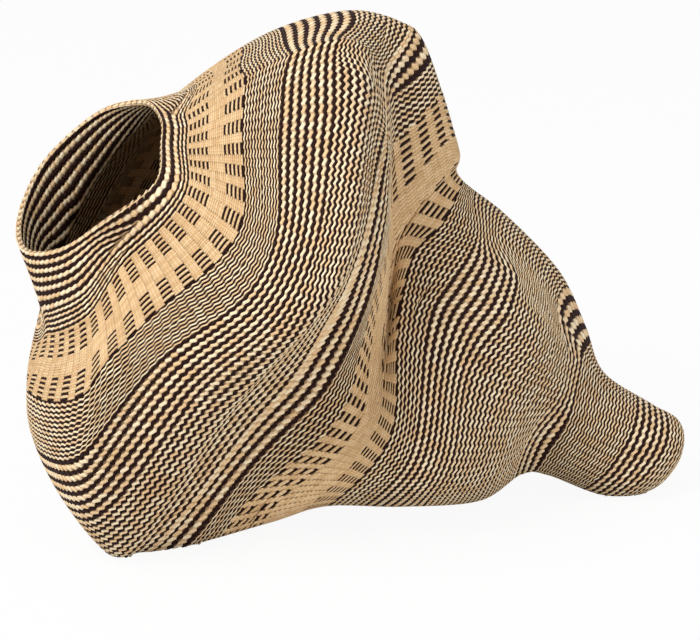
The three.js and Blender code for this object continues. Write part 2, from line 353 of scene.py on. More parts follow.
BODY_FINE_END = RowLine((
    (0.0, 4.86), (0.015, 5.12), (0.026, 5.26), (0.046, 5.34), (0.075, 5.28), (0.093, 5.23),
    (0.111, 5.20), (0.128, 5.08), (0.145, 5.02), (0.161, 4.94), (0.172, 4.93), (0.183, 4.94),
    (0.19, 4.92), (0.202, 5.01), (0.207, 5.10), (0.225, 5.31), (0.242, 5.43), (0.261, 5.61),
    (0.278, 5.71), (0.291, 5.73), (0.30, 5.70), (0.32, 5.5), (0.34, 5.42), (0.36, 5.32), (0.38, 5.18),
    (0.40, 5.05), (0.43, 5.03), (0.5, 5.2), (0.6, 5.12), (0.88, 5.25), (0.928, 5.2), (0.957, 4.95),
    (0.986, 4.76)))
BODY_FIRST_BOLD = RowLine((
    (0.0, 5.14), (0.005, 5.26), (0.012, 5.42), (0.023, 5.54), (0.059, 5.64), (0.093, 5.67),
    (0.111, 5.64), (0.122, 5.58), (0.139, 5.48), (0.15, 5.44), (0.161, 5.40), (0.174, 5.36),
    (0.186, 5.37), (0.195, 5.45), (0.212, 5.56), (0.232, 5.84), (0.253, 5.94), (0.276, 5.98),
    (0.292, 6.03), (0.30, 6.03), (0.32, 5.80), (0.34, 5.68), (0.36, 5.60), (0.38, 5.52), (0.40, 5.40),
    (0.43, 5.38), (0.5, 5.55), (0.6, 5.5), (0.88, 5.6), (0.93, 5.5), (0.957, 5.2), (0.986, 4.98)))
BODY_BOLD_END = RowLine((
    (0.0, 5.46), (0.005, 5.64), (0.015, 5.82), (0.032, 5.94), (0.06, 5.93), (0.094, 5.89), (0.126, 5.87),
    (0.152, 5.82), (0.165, 5.77), (0.178, 5.76), (0.19, 5.84), (0.20, 5.99), (0.21, 6.08), (0.227, 6.19),
    (0.244, 6.26), (0.27, 6.34), (0.286, 6.35), (0.30, 6.36), (0.32, 6.25), (0.34, 6.10), (0.36, 6.08),
    (0.39, 6.10), (0.42, 6.12), (0.45, 6.2), (0.55, 6.2), (0.88, 6.2), (0.908, 6.17), (0.939, 6.07),
    (0.954, 5.9), (0.969, 5.65), (0.988, 5.27)))
FOLD_FINE_END = RowLine((
    (0.0, 6.05), (0.03, 6.12), (0.06, 6.12), (0.10, 6.1), (0.14, 6.08), (0.16, 6.06), (0.176, 6.06),
    (0.19, 6.08), (0.20, 6.12), (0.216, 6.22), (0.232, 6.36), (0.255, 6.49), (0.276, 6.62),
    (0.302, 6.70), (0.319, 6.70), (0.333, 6.62), (0.342, 6.5), (0.351, 6.40), (0.368, 6.36),
    (0.39, 6.40), (0.42, 6.52), (0.45, 6.65), (0.55, 6.66), (0.85, 6.55), (0.902, 6.46), (0.936, 6.41),
    (0.962, 6.30), (0.989, 6.08)))
FOLD_DASH_END = RowLine((
    (0.0, 6.62), (0.05, 6.5), (0.10, 6.3), (0.147, 6.18), (0.172, 6.2), (0.19, 6.26), (0.207, 6.36),
    (0.225, 6.53), (0.248, 6.71), (0.266, 6.84), (0.288, 6.95), (0.31, 7.02), (0.326, 7.03),
    (0.339, 7.0), (0.35, 6.88), (0.36, 6.77), (0.375, 6.76), (0.40, 6.84), (0.45, 7.02), (0.55, 7.1),
    (0.85, 7.0), (0.922, 6.81), (0.961, 6.75), (0.985, 6.67)))
FOLD_PLAIN_END = RowLine((
    (0.0, 7.48), (0.029, 7.45), (0.057, 7.44), (0.085, 7.37), (0.115, 7.12), (0.14, 6.85), (0.156, 6.7),
    (0.18, 6.62), (0.199, 6.74), (0.209, 6.87), (0.225, 7.06), (0.254, 7.24), (0.276, 7.33), (0.3, 7.37),
    (0.317, 7.4), (0.334, 7.46), (0.348, 7.47), (0.362, 7.48), (0.40, 7.46), (0.45, 7.45), (0.55, 7.4),
    (0.88, 7.3), (0.93, 7.3), (0.97, 7.3)))
FOLD_NATURAL_END = RowLine((
    (0.0, 8.30), (0.027, 8.19), (0.05, 8.10), (0.08, 8.02), (0.10, 8.0), (0.13, 7.95), (0.15, 7.88),
    (0.20, 7.86), (0.25, 7.85), (0.30, 7.83), (0.35, 7.90), (0.45, 8.1), (0.55, 8.0), (0.85, 8.0),
    (0.911, 8.16), (0.944, 8.26), (0.97, 8.31)))
LOBE_FINE_END = RowLine((
    (0.0, 8.70), (0.05, 8.65), (0.10, 8.55), (0.13, 8.48), (0.15, 8.48), (0.18, 8.52), (0.20, 8.57),
    (0.22, 8.60), (0.25, 8.58), (0.28, 8.47), (0.30, 8.40), (0.33, 8.38), (0.36, 8.42), (0.45, 8.6),
    (0.55, 8.6), (0.85, 8.5), (0.90, 8.42), (0.93, 8.46), (0.957, 8.60), (0.975, 8.68)))
LOBE_BOLD_END = RowLine((
    (0.0, 9.12), (0.018, 9.34), (0.03, 9.40), (0.05, 9.43), (0.10, 9.47), (0.13, 9.45), (0.15, 9.40),
    (0.20, 9.36), (0.25, 9.37), (0.27, 9.36), (0.30, 9.24), (0.33, 9.17), (0.38, 9.25), (0.45, 9.42),
    (0.80, 9.42), (0.88, 9.1), (0.923, 8.95), (0.95, 8.92), (0.98, 8.95)))
HIP_END = RowLine((
    (0.0, 10.28), (0.02, 10.42), (0.035, 10.6), (0.05, 10.85), (0.10, 10.9), (0.15, 10.92),
    (0.20, 10.85), (0.23, 10.75), (0.25, 10.66), (0.28, 10.62), (0.35, 10.66), (0.45, 10.75),
    (0.80, 10.75), (0.90, 10.35), (0.94, 10.2), (0.98, 10.2)))
WAIST_END = RowLine((
    (0.0, 11.22), (0.05, 11.26), (0.10, 11.30), (0.15, 11.31), (0.20, 11.36), (0.25, 11.45),
    (0.35, 11.46), (0.45, 11.43), (0.9, 11.35)))
TAIL_FINE_END = RowLine((
    (0.0, 12.57), (0.33, 12.57), (0.45, 12.66), (0.9, 12.66)))
TAIL_BOLD_END = RowLine((
    (0.0, 13.32), (0.13, 13.36), (0.25, 13.31), (0.32, 13.28), (0.45, 13.45), (0.9, 13.45)))
TAIL_END = RowLine(((0.0, 14.5),))
BASE_END = RowLine(((0.0, 15.0),))


# Rows and stitches


class Dye(Enum):
    """The straw of a row, by the letter that stands for it. A small letter marks a short row."""

    DARK = "D"
    NATURAL = "N"
    DASHES = "X"


@dataclass(frozen=True)
class ShortRows:
    """Pairs of rows that are woven only over part of the way round, where the wall has to widen.

    Each pair starts and ends at its own turns, and thins out over a short stretch at both ends.
    """

    spans: tuple[tuple[float, float], ...] = ()
    rows_each: int = 2
    fade: float = 0.03

    def presence(self, order: int, turn: Array) -> Array:
        """How much of its full height a short row has.

        Args:
            order: The row's number among the short rows.
            turn: Turns round the basket.

        Returns:
            Shares from 0 to 1.
        """
        first, last = self.spans[order // self.rows_each]
        reach = (last - first) % 1.0
        passed = (turn - first) % 1.0
        return np.clip(np.minimum(passed, reach - passed) / self.fade, 0, 1)


@dataclass(frozen=True)
class WeaveRun:
    """Rows of one colour order between two lines. Small letters stand for short rows.

    The stitch is its length in metres, and courses are the lots of rows with the same stitch columns. The
    natural rows of a plain run lie flat and smooth. The spread is how much longer the stitches get near the
    top ridge. The rows of a facing run look equally high from the front.
    """

    start: RowLine
    end: RowLine
    letters: str
    stitch: float
    courses: int = 1
    short: ShortRows = ShortRows()
    plain: bool = False
    spread: float = 0.0
    facing: bool = False

    def dyes(self) -> list[Dye]:
        """The straw of each row."""
        return [Dye(letter.upper()) for letter in self.letters]

    def presence(self, turn: Array) -> Array:
        """How much of its full height each row has.

        Args:
            turn: Turns round the basket.

        Returns:
            Shares from 0 to 1, with one row of the array for each row.
        """
        heights = []
        order = 0
        for letter in self.letters:
            full = np.ones_like(turn)
            if letter.islower():
                full = self.short.presence(order, turn)
                order += 1
            heights.append(full)
        return np.array(heights)


@dataclass
class Stitches:
    """Places, ways, sizes and straw of many stitches."""

    point: Array
    way: Array
    out: Array
    size: Array
    dye: Array
    tone: Array

    @staticmethod
    def joined(parts: list["Stitches"]) -> "Stitches":
        """All the stitches of several lots, as one lot."""
        names = ("point", "way", "out", "size", "dye", "tone")
        return Stitches(*[np.concatenate([getattr(part, name) for part in parts]) for name in names])


@dataclass
class Twiner:
    """Lays rows of twined stitches on the form.

    Thickness and widths are shares of a row's height, and pale strands are the fuller ones. The ridge's
    reach is in turns. The view is the way to the camera, and the view share is how much a step towards it
    counts in a facing run.
    """

    form: BasketForm
    thickness: float = 0.62
    least_thickness: float = 1.1 * MM
    most_thickness: float = 2.1 * MM
    plain_thickness: float = 1.0 * MM
    full_width: float = 1.22
    slim_width: float = 1.12
    plain_width: float = 1.3
    dash_width: float = 0.92
    dash_share: float = 0.1
    sink: float = 0.12 * MM
    least_presence: float = 0.4
    even_steps: int = 24
    measure_steps: int = 720
    ridge_reach: float = 0.1
    view: Triple = (0.0, -0.94, 0.342)
    view_share: float = 0.3
    wall: float = 5.0 * MM
    sway: float = 0.16
    seed: int = 7
    seed_step: int = 31

    def edges(self, run: WeaveRun, turn: Array) -> Array:
        """Places of the rows' edges, one line more than there are rows. All full rows are equally high.

        Args:
            run: The rows.
            turn: Turns round the basket, in order.

        Returns:
            The places, with one row of the array for each edge.
        """
        reach = np.vstack([np.zeros((1, len(turn))), np.cumsum(run.presence(turn), axis=0)])
        reach /= reach[-1]
        first, last = run.start.place(turn), run.end.place(turn)
        places = first + (last - first) * np.linspace(0, 1, self.even_steps + 1)[:, None]
        points = self.form.spots(places, np.broadcast_to(turn, places.shape)).point
        rowward = np.gradient(points, axis=1)
        rowward = unit(rowward[1:] + rowward[:-1])
        step = np.diff(points, axis=0)
        step -= rowward * np.sum(step * rowward, axis=-1, keepdims=True)
        if run.facing:
            view = np.array(self.view)
            step -= view * (1 - self.view_share) * (step @ view)[..., None]
        passed = np.cumsum(np.linalg.norm(step, axis=-1), axis=0)
        passed = np.vstack([np.zeros((1, len(turn))), passed / passed[-1]])
        lines = [np.interp(*column) for column in zip(reach.T, passed.T, places.T)]
        return np.stack(lines, axis=1)

    def columns(self, run: WeaveRun, row: float) -> tuple[Array, Array]:
        """Turns of the stitch columns, spaced along one row. Every other one is longer in a plain run.

        Args:
            run: The rows.
            row: The row to measure, which may lie between two.

        Returns:
            The turns between the stitches and those of their middles.
        """
        turn = np.linspace(0, 1, self.measure_steps + 1)
        edges = self.edges(run, turn)
        low = min(int(row), len(edges) - 2)
        place = edges[low] + (edges[low + 1] - edges[low]) * (row - low)
        point = self.form.spots(place, turn).point
        steps = np.linalg.norm(np.diff(point, axis=0), axis=1)
        off_ridge = np.abs((turn[1:] + 0.5) % 1.0 - 0.5)
        steps *= 1 - run.spread * np.exp(-((off_ridge / self.ridge_reach) ** 2))
        reach = np.concatenate([[0], np.cumsum(steps)])
        count = 2 * round(reach[-1] / run.stitch / 2)
        marks = np.arange(count + 1.0)
        if run.plain:
            marks[1::2] += self.dash_share
        marks *= reach[-1] / count
        between = np.interp(marks, reach, turn)
        middles = np.interp((marks[:-1] + marks[1:]) / 2, reach, turn)
        return between, middles

    def run(self, run: WeaveRun, inside: bool = False) -> Stitches:
        """Stitches of all rows between two lines.

        Args:
            run: The rows.
            inside: Whether they lie on the wall's inner face.

        Returns:
            The stitches.
        """
        rows = len(run.letters)
        starts = [round(rows * course / run.courses) for course in range(run.courses + 1)]
        return Stitches.joined([self.course(run, *lot, inside) for lot in zip(starts, starts[1:])])

    def course(self, run: WeaveRun, first: int, last: int, inside: bool) -> Stitches:
        """Stitches of neighbouring rows that share their columns.

        Args:
            run: The rows.
            first: The first row.
            last: The row after the last one.
            inside: Whether they lie on the wall's inner face.

        Returns:
            The stitches.
        """
        between, middles = self.columns(run, (first + last) / 2)
        count = len(middles)
        rows = last - first
        edges = self.edges(run, middles)[first:last + 1]
        low, high = edges[:-1], edges[1:]
        spots = self.form.spots((low + high) / 2, np.broadcast_to(middles, low.shape))
        edges = self.edges(run, between)[first:last + 1]
        places = (edges[:-1] + edges[1:]) / 2
        face = self.wall if inside else 0.0
        corners = self.form.wall(places, np.broadcast_to(between, places.shape), face)
        chord = corners[:, 1:] - corners[:, :-1]
        length = np.linalg.norm(chord, axis=-1)
        way = unit(chord)
        across = spots.along - way * np.sum(spots.along * way, axis=-1, keepdims=True)
        height = np.linalg.norm(across, axis=-1) * (high - low)
        keep = run.presence(middles)[first:last] > self.least_presence
        dyed = self.dyed(run, first, last, count)
        width, thick = self.girth(height, dyed, run.plain)
        depth = np.where(dyed, self.sink, 0.0) + thick / 2
        if inside:
            depth = self.wall - depth
        point = spots.point - spots.out * depth[..., None]
        pressed = point[..., 2] < depth
        point[..., 2] = np.maximum(point[..., 2], depth)
        out = np.where(pressed[..., None], DOWN, spots.out)
        if inside:
            out = -out
        chance = np.random.default_rng(self.seed + first + self.seed_step * count)
        tone = chance.random((rows, count))
        sway = 1 + self.sway * (chance.random((rows, count, 3)) - 0.5)
        size = np.stack([length, height * width, thick], -1) * sway
        return Stitches(point[keep], way[keep], out[keep], size[keep], dyed[keep].astype(float), tone[keep])

    @staticmethod
    def dyed(run: WeaveRun, first: int, last: int, count: int) -> Array:
        """Which stitches are of dyed straw.

        Args:
            run: The rows.
            first: The first row.
            last: The row after the last one.
            count: How many stitches a row has.

        Returns:
            One truth for each stitch.
        """
        dyed = np.zeros((last - first, count), bool)
        for row, dye in enumerate(run.dyes()[first:last]):
            dyed[row] = dye is Dye.DARK
            if dye is Dye.DASHES:
                dyed[row, ::2] = True
        return dyed

    def girth(self, height: Array, dyed: Array, plain: bool) -> tuple[Array, Array]:
        """Widths and thicknesses of stitches.

        Args:
            height: Heights of their rows.
            dyed: Which ones are of dyed straw.
            plain: Whether the natural ones lie flat and smooth.

        Returns:
            The widths as shares of the row's height, and the thicknesses in metres.
        """
        thick = np.clip(height * self.thickness, self.least_thickness, self.most_thickness)
        if plain:
            width = np.where(dyed, self.dash_width, self.plain_width)
            return width, np.where(dyed, thick, self.plain_thickness)
        return np.where(dyed, self.slim_width, self.full_width), thick


# Meshes and node trees


def new_object(name: str, vertices: Array, faces: Faces) -> bpy.types.Object:
    """An object at the origin with its place in its mesh.

    Args:
        name: The object's name.
        vertices: Its points in metres.
        faces: Its faces.

    Returns:
        The object, linked to the scene.
    """
    mesh = bpy.data.meshes.new(name)
    mesh.from_pydata(np.asarray(vertices).tolist(), [], faces)
    mesh.update()
    made = bpy.data.objects.new(name, mesh)
    bpy.context.scene.collection.objects.link(made)
    return made


def write_attribute(mesh: bpy.types.Mesh, name: str, values: Array) -> None:
    """Writes numbers or vectors to a mesh's points.

    Args:
        mesh: The mesh.
        name: The attribute's name.
        values: One number or vector for each point.
    """
    values = np.asarray(values, np.float32)
    kind, field_name = ("FLOAT_VECTOR", "vector") if values.ndim == 2 else ("FLOAT", "value")
    made = mesh.attributes.new(name, kind, "POINT")
    made.data.foreach_set(field_name, values.ravel())


def remove_object(made: bpy.types.Object) -> None:
    """Takes a helper object and its mesh out of the scene.

    Args:
        made: The object.
    """
    mesh = made.data
    bpy.data.objects.remove(made)
    bpy.data.meshes.remove(mesh)


def loop_faces(loops: int, columns: int, closed: bool) -> Faces:
    """Faces between neighbouring loops of points.

    Args:
        loops: How many loops there are.
        columns: How many points each one has.
        closed: Whether the last loop joins the first.

    Returns:
        The faces.
    """
    faces = []
    for loop in range(loops if closed else loops - 1):
        near = loop * columns
        far = (loop + 1) % loops * columns
        for column in range(columns):
            beside = (column + 1) % columns
            faces.append((near + column, near + beside, far + beside, far + column))
    return faces


def set_inputs(tree: bpy.types.NodeTree, node: bpy.types.Node, inputs: Inputs) -> None:
    """Joins sockets to a node's inputs, or sets their values.

    Args:
        tree: The node tree.
        node: The node.
        inputs: Sockets and values, by the input's name or number.
    """
    for key, value in inputs.items():
        if isinstance(value, Socket):
            tree.links.new(value, node.inputs[key])
        else:
            node.inputs[key].default_value = value


def add_node(tree: bpy.types.NodeTree, kind: str, inputs: Inputs, **settings: object) -> bpy.types.Node:
    """A new node of a tree.

    Args:
        tree: The node tree.
        kind: The node's type.
        inputs: Sockets and values, by the input's name or number.
        settings: The node's own properties.

    Returns:
        The node.
    """
    made = tree.nodes.new(kind)
    for name, value in settings.items():
        setattr(made, name, value)
    set_inputs(tree, made, inputs)
    return made


class Slant(Enum):
    """How a stitch lies in its row: its shifts across the row, from its first end to its last."""

    STEEP = (0.03, 0.30, -0.30, -0.03)
    RISING = (0.02, 0.19, -0.19, -0.02)
    FALLING = (-0.01, -0.11, 0.11, 0.01)
    BOWED = (0.10, -0.02, -0.02, 0.10)
    LEANING = (0.22, 0.10, -0.10, -0.22)

    @property
    def flat(self) -> bool:
        """Whether the stitch lies flat, as in plain rows."""
        return self in (Slant.BOWED, Slant.LEANING)


@dataclass(frozen=True)
class StitchShape:
    """One stitch of twisted straw, long in X and lying on Z.

    Its sections give a place along it, a half width and a drop, in shares of its size.
    """

    slant: Slant
    sections: tuple[Triple, ...] = (
        (-0.53, 0.43, 0.22),
        (-0.24, 0.51, 0.0),
        (0.24, 0.51, 0.0),
        (0.53, 0.43, 0.22),
    )
    flat_share: float = 0.3
    shoulder: float = 0.55
    crest: float = 0.5
    foot: float = -0.45

    def build(self) -> bpy.types.Object:
        """The stitch at a size of one, as a closed mesh.

        Returns:
            The stitch's object.
        """
        vertices = []
        strand = []
        share = self.flat_share if self.slant.flat else 1.0
        for (along, half, drop), shift in zip(self.sections, self.slant.value):
            near = half * self.shoulder
            profile = ((-half, self.foot), (half, self.foot), (near, self.crest), (-near, self.crest))
            for across, up in profile:
                vertices.append((along, shift + across, up - drop * share))
                strand.append((along * share, across, up))
        sides = len(profile)
        count = len(self.sections)
        faces = []
        for ring in range(count - 1):
            for side in range(sides):
                here = ring * sides + side
                beside = ring * sides + (side + 1) % sides
                faces.append((here, here + sides, beside + sides, beside))
        faces.append(tuple(range(sides)))
        faces.append(tuple(range((count - 1) * sides, count * sides))[::-1])
        made = new_object("stitch_" + self.slant.name.lower(), np.array(vertices), faces)
        write_attribute(made.data, "strand", np.array(strand))
        return made


class NodeTree:
    """A geometry node tree with geometry and named values in, and straw geometry out."""

    def __init__(self, name: str, inputs: dict[str, str]) -> None:
        """Starts the tree.

        Args:
            name: The tree's name.
            inputs: The types of its inputs besides the geometry and the straw, by name.
        """
        self.tree = bpy.data.node_groups.new(name, "GeometryNodeTree")
        self.sockets: dict[str, str] = {}
        kinds = {"Geometry": "NodeSocketGeometry", **inputs, "Straw": "NodeSocketMaterial"}
        for label, kind in kinds.items():
            made = self.tree.interface.new_socket(label, in_out="INPUT", socket_type=kind)
            self.sockets[label] = made.identifier
        self.tree.interface.new_socket("Geometry", in_out="OUTPUT", socket_type="NodeSocketGeometry")
        self.start = self.tree.nodes.new("NodeGroupInput")

    def node(self, kind: str, inputs: Inputs, **settings: object) -> Outputs:
        """The outputs of a new node, with its type, inputs and settings."""
        return add_node(self.tree, kind, inputs, **settings).outputs

    def named(self, name: str) -> Socket:
        """The vectors of a named attribute."""
        values = self.node("GeometryNodeInputNamedAttribute", {"Name": name}, data_type="FLOAT_VECTOR")
        return values["Attribute"]

    def end(self, geometry: Socket) -> None:
        """Ends the tree with smooth geometry of straw.

        Args:
            geometry: The geometry to put out.
        """
        smooth = self.node("GeometryNodeSetShadeSmooth", {"Geometry": geometry})
        inputs = {"Geometry": smooth["Geometry"], "Material": self.start.outputs["Straw"]}
        dressed = self.node("GeometryNodeSetMaterial", inputs)
        self.node("NodeGroupOutput", {"Geometry": dressed["Geometry"]})

    def run_on(self, made: bpy.types.Object, values: dict[str, object]) -> bpy.types.Object:
        """Runs the tree on an object and keeps the result as a plain mesh.

        Args:
            made: The object to work on, which keeps its name.
            values: The tree's inputs by name.

        Returns:
            The same object with its new mesh.
        """
        modifier = made.modifiers.new("nodes", "NODES")
        modifier.node_group = self.tree
        for name, value in values.items():
            modifier[self.sockets[name]] = value
        graph = bpy.context.evaluated_depsgraph_get()
        mesh = bpy.data.meshes.new_from_object(made.evaluated_get(graph), preserve_all_data_layers=True,
                                               depsgraph=graph)
        made.modifiers.remove(modifier)
        old = made.data
        made.data = mesh
        bpy.data.meshes.remove(old)
        mesh.name = made.name
        return made


def twining_tree() -> NodeTree:
    """The tree that sets a stitch on every point, joins the core and presses all flat on the floor.

    Returns:
        The tree, with inputs for the stitch, the core and the straw.
    """
    tree = NodeTree("Twined rows", {"Stitch": "NodeSocketObject", "Core": "NodeSocketObject"})
    start = tree.start.outputs
    stitch = tree.node("GeometryNodeObjectInfo", {"Object": start["Stitch"]})
    core = tree.node("GeometryNodeObjectInfo", {"Object": start["Core"]})
    axes = {"Primary Axis": tree.named("out"), "Secondary Axis": tree.named("way")}
    turned = tree.node("FunctionNodeAxesToRotation", axes, primary_axis="Z", secondary_axis="X")
    laid = tree.node("GeometryNodeInstanceOnPoints", {
        "Points": start["Geometry"],
        "Instance": stitch["Geometry"],
        "Rotation": turned["Rotation"],
        "Scale": tree.named("size"),
    })
    join = tree.tree.nodes.new("GeometryNodeJoinGeometry")
    for part in (laid["Instances"], core["Geometry"]):
        set_inputs(tree.tree, join, {"Geometry": part})
    real = tree.node("GeometryNodeRealizeInstances", {"Geometry": join.outputs["Geometry"]})
    place = tree.node("GeometryNodeInputPosition", {})
    parts = tree.node("ShaderNodeSeparateXYZ", {"Vector": place["Position"]})
    above = tree.node("ShaderNodeMath", {0: parts["Z"], 1: 0.0}, operation="MAXIMUM")
    pressed = tree.node("ShaderNodeCombineXYZ", {"X": parts["X"], "Y": parts["Y"], "Z": above["Value"]})
    moved = {"Geometry": real["Geometry"], "Position": pressed["Vector"]}
    tree.end(tree.node("GeometryNodeSetPosition", moved)["Geometry"])
    return tree


def stake_tree() -> NodeTree:
    """The tree that makes a stem along every polyline.

    Returns:
        The tree, with inputs for the stem's radius and sides and its straw.
    """
    tree = NodeTree("Grass stakes", {"Radius": "NodeSocketFloat", "Sides": "NodeSocketInt"})
    start = tree.start.outputs
    curve = tree.node("GeometryNodeMeshToCurve", {"Mesh": start["Geometry"]})
    sizes = {"Resolution": start["Sides"], "Radius": start["Radius"]}
    ring = tree.node("GeometryNodeCurvePrimitiveCircle", sizes, mode="RADIUS")
    curves = {"Curve": curve["Curve"], "Profile Curve": ring["Curve"], "Fill Caps": True}
    stem = tree.node("GeometryNodeCurveToMesh", curves)
    tree.end(tree.node("GeometryNodeRealizeInstances", {"Geometry": stem["Mesh"]})["Geometry"])
    return tree


# Straw


def linear(*screen: int) -> Colour:
    """The linear red, green and blue of a colour as it looks on a screen, in steps of 0 to 255."""
    return tuple(Color([value / 255 for value in screen]).from_srgb_to_scene_linear())


CREAM = linear(250, 230, 194)
TAN = linear(230, 192, 144)
BLACK_DYE = linear(33, 15, 12)
# Lighter specks on dyed straw, partly rubbed-off dye and partly painted highlight.
WORN_AND_HIGHLIGHT_DYE = linear(66, 40, 35)
# Brown painted in as shade between and under the strands, and also the colour of the straw's real flecks.
SHADE_AND_FLECK_BROWN = linear(104, 64, 38)
STRAW_COLOURS = ("Pale", "Ripe", "Dyed", "Worn", "Crevice")
# Numbers of a colour mix node's sockets
MIX_SHARE = 0
MIX_FIRST = 6
MIX_SECOND = 7
MIX_RESULT = 2


@dataclass(frozen=True)
class StrawFinish:
    """A kind of straw, with linear colours and with painted shade in groove lines across it, from none at 0
    to dark at 1.
    """

    slot: str
    pale: Colour = CREAM
    ripe: Colour = TAN
    # Brown for painted shade and for real flecks.
    crevice: Colour = SHADE_AND_FLECK_BROWN
    dyed: Colour = BLACK_DYE
    # Lighter specks on dyed straw: partly rubbed-off dye, partly painted highlight.
    worn: Colour = WORN_AND_HIGHLIGHT_DYE
    # Strength of the painted shade in groove lines across flat strands.
    grooves: float = 0.0
    gloss: float = 0.08
    bump: float = 0.25
    bump_depth: float = 0.3 * MM


FINISHES = (
    StrawFinish("border_grass"),
    # The third colour is the brown for painted shade and real flecks; the groove strength is painted shade
    # in lines across the flat strands.
    StrawFinish("natural_weave", linear(231, 200, 156), linear(213, 176, 129), linear(150, 104, 66),
                grooves=0.28),
    StrawFinish("fine_weave"),
    StrawFinish("bold_weave"),
    StrawFinish("stake_grass", linear(214, 176, 118), linear(176, 134, 82)),
)


@dataclass
class StrawGroup:
    """The node group that colours a strand of straw along its own length, with painted shade at its feet,
    ends and groove lines.

    A range gives the values where a shade starts and ends, and then its strength at both, or else 0 and 1.
    """

    tone_shift: float = 91.0
    fibre_stretch: Triple = (1.6, 9.0, 1.0)
    fibre_scale: float = 1.0
    fibre_detail: float = 3.0
    fibre_part: float = 0.9
    tone_part: float = 0.75
    ripeness: tuple[float, ...] = (0.45, 1.2)
    # Painted shade, darkest at the foot of each strand; cores and stakes, which have no strand, get a fixed
    # share of it all over.
    low_shade: tuple[float, ...] = (-0.40, 0.20, 0.85, 0.0)
    # Painted shade at the stitch ends, where each tucks under its neighbour.
    tucked_shade: tuple[float, ...] = (0.30, 0.52, 0.0, 0.38)
    flecks: tuple[float, ...] = (0.62, 0.74, 0.0, 0.6)
    # Painted shade in lines across flat strands, standing for the dips between their ribs.
    groove_waves: float = 59.3
    groove_shade: tuple[float, ...] = (-0.2, -1.0)
    # Where the lighter specks on dyed straw show, from the fibre noise: partly rubbed-off dye, partly
    # painted highlight.
    wear_and_highlight: tuple[float, ...] = (0.50, 0.75)
    dryness: tuple[float, ...] = (0.2, 0.8, 0.5, 0.75)

    def __post_init__(self) -> None:
        """Builds the group once for all kinds of straw."""
        self.tree = bpy.data.node_groups.new("Strand of straw", "ShaderNodeTree")
        inputs = {"Dye": "Float", "Tone": "Float", "Grooves": "Float", "Strand": "Vector"}
        inputs.update((name, "Color") for name in STRAW_COLOURS)
        outputs = {"Colour": "Color", "Dryness": "Float", "Fibre": "Float"}
        for side, sockets in (("INPUT", inputs), ("OUTPUT", outputs)):
            for name, kind in sockets.items():
                self.tree.interface.new_socket(name, in_out=side, socket_type="NodeSocket" + kind)
        self.fill()

    def fill(self) -> None:
        """Adds the nodes: long fibres, brown flecks, painted shade at the strands' feet, ends and groove
        lines, the dye, and lighter specks on it that are partly rubbed-off dye and partly painted highlight.
        """
        start = self.node("NodeGroupInput", {})
        moved = self.math("MULTIPLY", start["Tone"], self.tone_shift)
        shift = self.node("ShaderNodeCombineXYZ", {"X": moved, "Z": moved})
        own = self.node("ShaderNodeVectorMath", {0: start["Strand"], 1: shift["Vector"]}, operation="ADD")
        stretched = self.node("ShaderNodeMapping", {"Vector": own["Vector"], "Scale": self.fibre_stretch})
        sizes = {"Scale": self.fibre_scale, "Detail": self.fibre_detail}
        fibre = self.node("ShaderNodeTexNoise", {"Vector": stretched["Vector"], **sizes})["Fac"]
        parts = self.node("ShaderNodeSeparateXYZ", {"Vector": start["Strand"]})
        blend = self.math("ADD", self.math("MULTIPLY", fibre, self.fibre_part),
                          self.math("MULTIPLY", start["Tone"], self.tone_part))
        straw = self.mix(self.spread(blend, *self.ripeness), start["Pale"], start["Ripe"])
        # Painted shade towards the strand's foot.
        low = self.spread(parts["Z"], *self.low_shade)
        # Painted shade at the stitch ends.
        tucked = self.spread(self.math("ABSOLUTE", parts["X"], 0.0), *self.tucked_shade)
        fleck = self.spread(fibre, *self.flecks)
        # Painted shade in lines across flat strands.
        wave = self.math("COSINE", self.math("MULTIPLY", parts["X"], self.groove_waves), 0.0)
        groove = self.math("MULTIPLY", self.spread(wave, *self.groove_shade), start["Grooves"])
        # Painted shade at the feet, ends and groove lines, together with the real brown flecks.
        shade = self.math("MAXIMUM", self.math("MAXIMUM", low, tucked), self.math("MAXIMUM", fleck, groove))
        straw = self.mix(shade, straw, start["Crevice"])
        # Dyed straw with lighter specks, partly rubbed-off dye and partly painted highlight.
        dyed = self.mix(self.spread(fibre, *self.wear_and_highlight), start["Dyed"], start["Worn"])
        self.node("NodeGroupOutput", {
            "Colour": self.mix(start["Dye"], straw, dyed),
            "Dryness": self.spread(fibre, *self.dryness),
            "Fibre": fibre,
        })

    def node(self, kind: str, inputs: Inputs, **settings: object) -> Outputs:
        """The outputs of a new node, with its type, inputs and settings."""
        return add_node(self.tree, kind, inputs, **settings).outputs

    def math(self, operation: str, first: Socket, second: object) -> Socket:
        """The result of one sum of a socket and a second socket or number."""
        return self.node("ShaderNodeMath", {0: first, 1: second}, operation=operation)["Value"]

    def spread(self, value: Socket, low: float, high: float, first: float = 0.0,
               last: float = 1.0) -> Socket:
        """A value spread from the range of low and high to that of first and last."""
        ends = {"From Min": low, "From Max": high, "To Min": first, "To Max": last}
        return self.node("ShaderNodeMapRange", {"Value": value, **ends})["Result"]

    def mix(self, share: Socket, first: Socket, second: Socket) -> Socket:
        """Two colours mixed, with a share of the second."""
        inputs = {MIX_SHARE: share, MIX_FIRST: first, MIX_SECOND: second}
        return self.node("ShaderNodeMix", inputs, data_type="RGBA")[MIX_RESULT]


